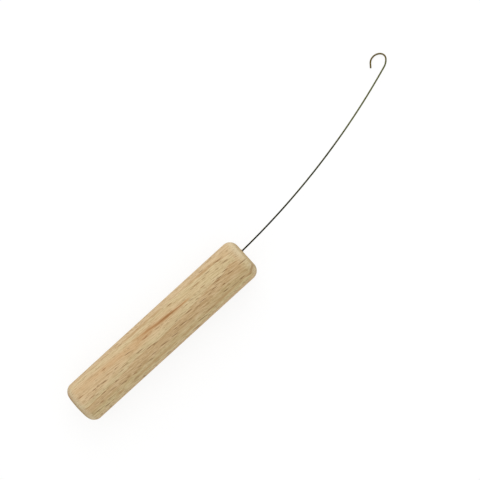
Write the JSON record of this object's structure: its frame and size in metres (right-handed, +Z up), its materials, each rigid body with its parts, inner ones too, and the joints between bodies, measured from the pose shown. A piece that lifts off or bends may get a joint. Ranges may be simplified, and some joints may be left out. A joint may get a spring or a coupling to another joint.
{
  "type": "threading hook",
  "caption": "Threading hook: a round wooden handle with a bowed spring wire bent into a small open hook, for drawing yarn through an orifice or reed.",
  "frame": {"origin": "centre of the handle's flat butt end, on the handle's axis", "axes": "+X along the handle's axis towards the hook, +Y to the side that the wire bows to, +Z up from the table that the tool lies on"},
  "size_m": [0.1656, 0.03, 0.016],
  "materials": {
    "handle_wood": "sanded beech, unvarnished, with fine ray flecks along the grain",
    "glue": "set adhesive, dark and slightly glossy",
    "wire_steel": "drawn spring wire with a dull grey-olive tone"
  },
  "bodies": {
    "root": {"handle": "handle_wood", "glue_bond": "glue", "hook_wire": "wire_steel"}
  },
  "joints": []
}
